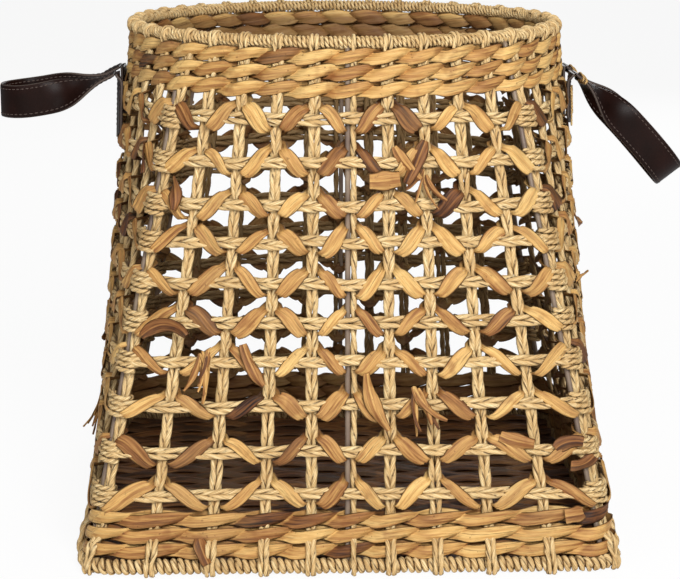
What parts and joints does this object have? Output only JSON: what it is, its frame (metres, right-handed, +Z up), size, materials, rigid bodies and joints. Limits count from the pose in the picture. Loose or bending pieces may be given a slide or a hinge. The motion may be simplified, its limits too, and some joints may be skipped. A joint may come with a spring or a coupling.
{
  "type": "seagrass basket",
  "caption": "Open-lattice seagrass floor basket with a square base, a round mouth, twined leaf bands and leather strap handles",
  "frame": {"origin": "Middle of the basket, on the surface that it stands on", "axes": "+X to the right-hand handle, +Y to the back, +Z up; the front looks along -Y"},
  "size_m": [0.5543, 0.4096, 0.3949],
  "materials": {
    "seagrass_cord": "twisted pale straw cord, dry and slightly glossy",
    "wrapped_rod": "wire rod wound with brown leaf, beside straw cord",
    "leaf": "flat golden seagrass leaf, twined",
    "dark_leaf": "dark brown woven leaf",
    "leather": "dark brown leather with stitched edges and a soft sheen"
  },
  "bodies": {
    "basket": {"corner_post_front_left": "wrapped_rod", "corner_post_front_right": "wrapped_rod", "corner_post_back_right": "wrapped_rod", "corner_post_back_left": "wrapped_rod", "side_post_front": "wrapped_rod", "side_post_right": "wrapped_rod", "side_post_back": "wrapped_rod", "side_post_left": "wrapped_rod", "stake_front_1": "seagrass_cord", "stake_front_2": "seagrass_cord", "stake_front_3": "seagrass_cord", "stake_front_4": "seagrass_cord", "stake_front_6": "seagrass_cord", "stake_front_7": "seagrass_cord", "stake_front_8": "seagrass_cord", "stake_front_9": "seagrass_cord", "stake_right_1": "seagrass_cord", "stake_right_2": "seagrass_cord", "stake_right_3": "seagrass_cord", "stake_right_4": "seagrass_cord", "stake_right_6": "seagrass_cord", "stake_right_7": "seagrass_cord", "stake_right_8": "seagrass_cord", "stake_right_9": "seagrass_cord", "stake_back_1": "seagrass_cord", "stake_back_2": "seagrass_cord", "stake_back_3": "seagrass_cord", "stake_back_4": "seagrass_cord", "stake_back_6": "seagrass_cord", "stake_back_7": "seagrass_cord", "stake_back_8": "seagrass_cord", "stake_back_9": "seagrass_cord", "stake_left_1": "seagrass_cord", "stake_left_2": "seagrass_cord", "stake_left_3": "seagrass_cord", "stake_left_4": "seagrass_cord", "stake_left_6": "seagrass_cord", "stake_left_7": "seagrass_cord", "stake_left_8": "seagrass_cord", "stake_left_9": "seagrass_cord", "lattice_row_01": "seagrass_cord", "lattice_row_02": "seagrass_cord", "lattice_row_03": "seagrass_cord", "lattice_row_04": "seagrass_cord", "lattice_row_05": "seagrass_cord", "lattice_row_06": "seagrass_cord", "lattice_row_07": "seagrass_cord", "lattice_row_08": "seagrass_cord", "lattice_row_09": "seagrass_cord", "lattice_row_10": "seagrass_cord", "base_band": "leaf", "top_band": "leaf", "top_rim": "seagrass_cord", "woven_base": "dark_leaf", "left_handle_front_end": "leather", "left_handle_rear_end": "leather", "right_handle_front_end": "leather", "right_handle_rear_end": "leather"},
    "left_handle": {"left_handle_loop": "leather"},
    "right_handle": {"right_handle_loop": "leather"}
  },
  "joints": [
    {"name": "left_handle_swing", "type": "hinge", "parent": "basket", "child": "left_handle", "pos_m": [-0.1823, 0, 0.35282], "axis": [0, -1, 0], "range_deg": [-99, 52]},
    {"name": "right_handle_swing", "type": "hinge", "parent": "basket", "child": "right_handle", "pos_m": [0.1823, 0, 0.35282], "axis": [0, 1, 0], "range_deg": [-131, 20]}
  ]
}
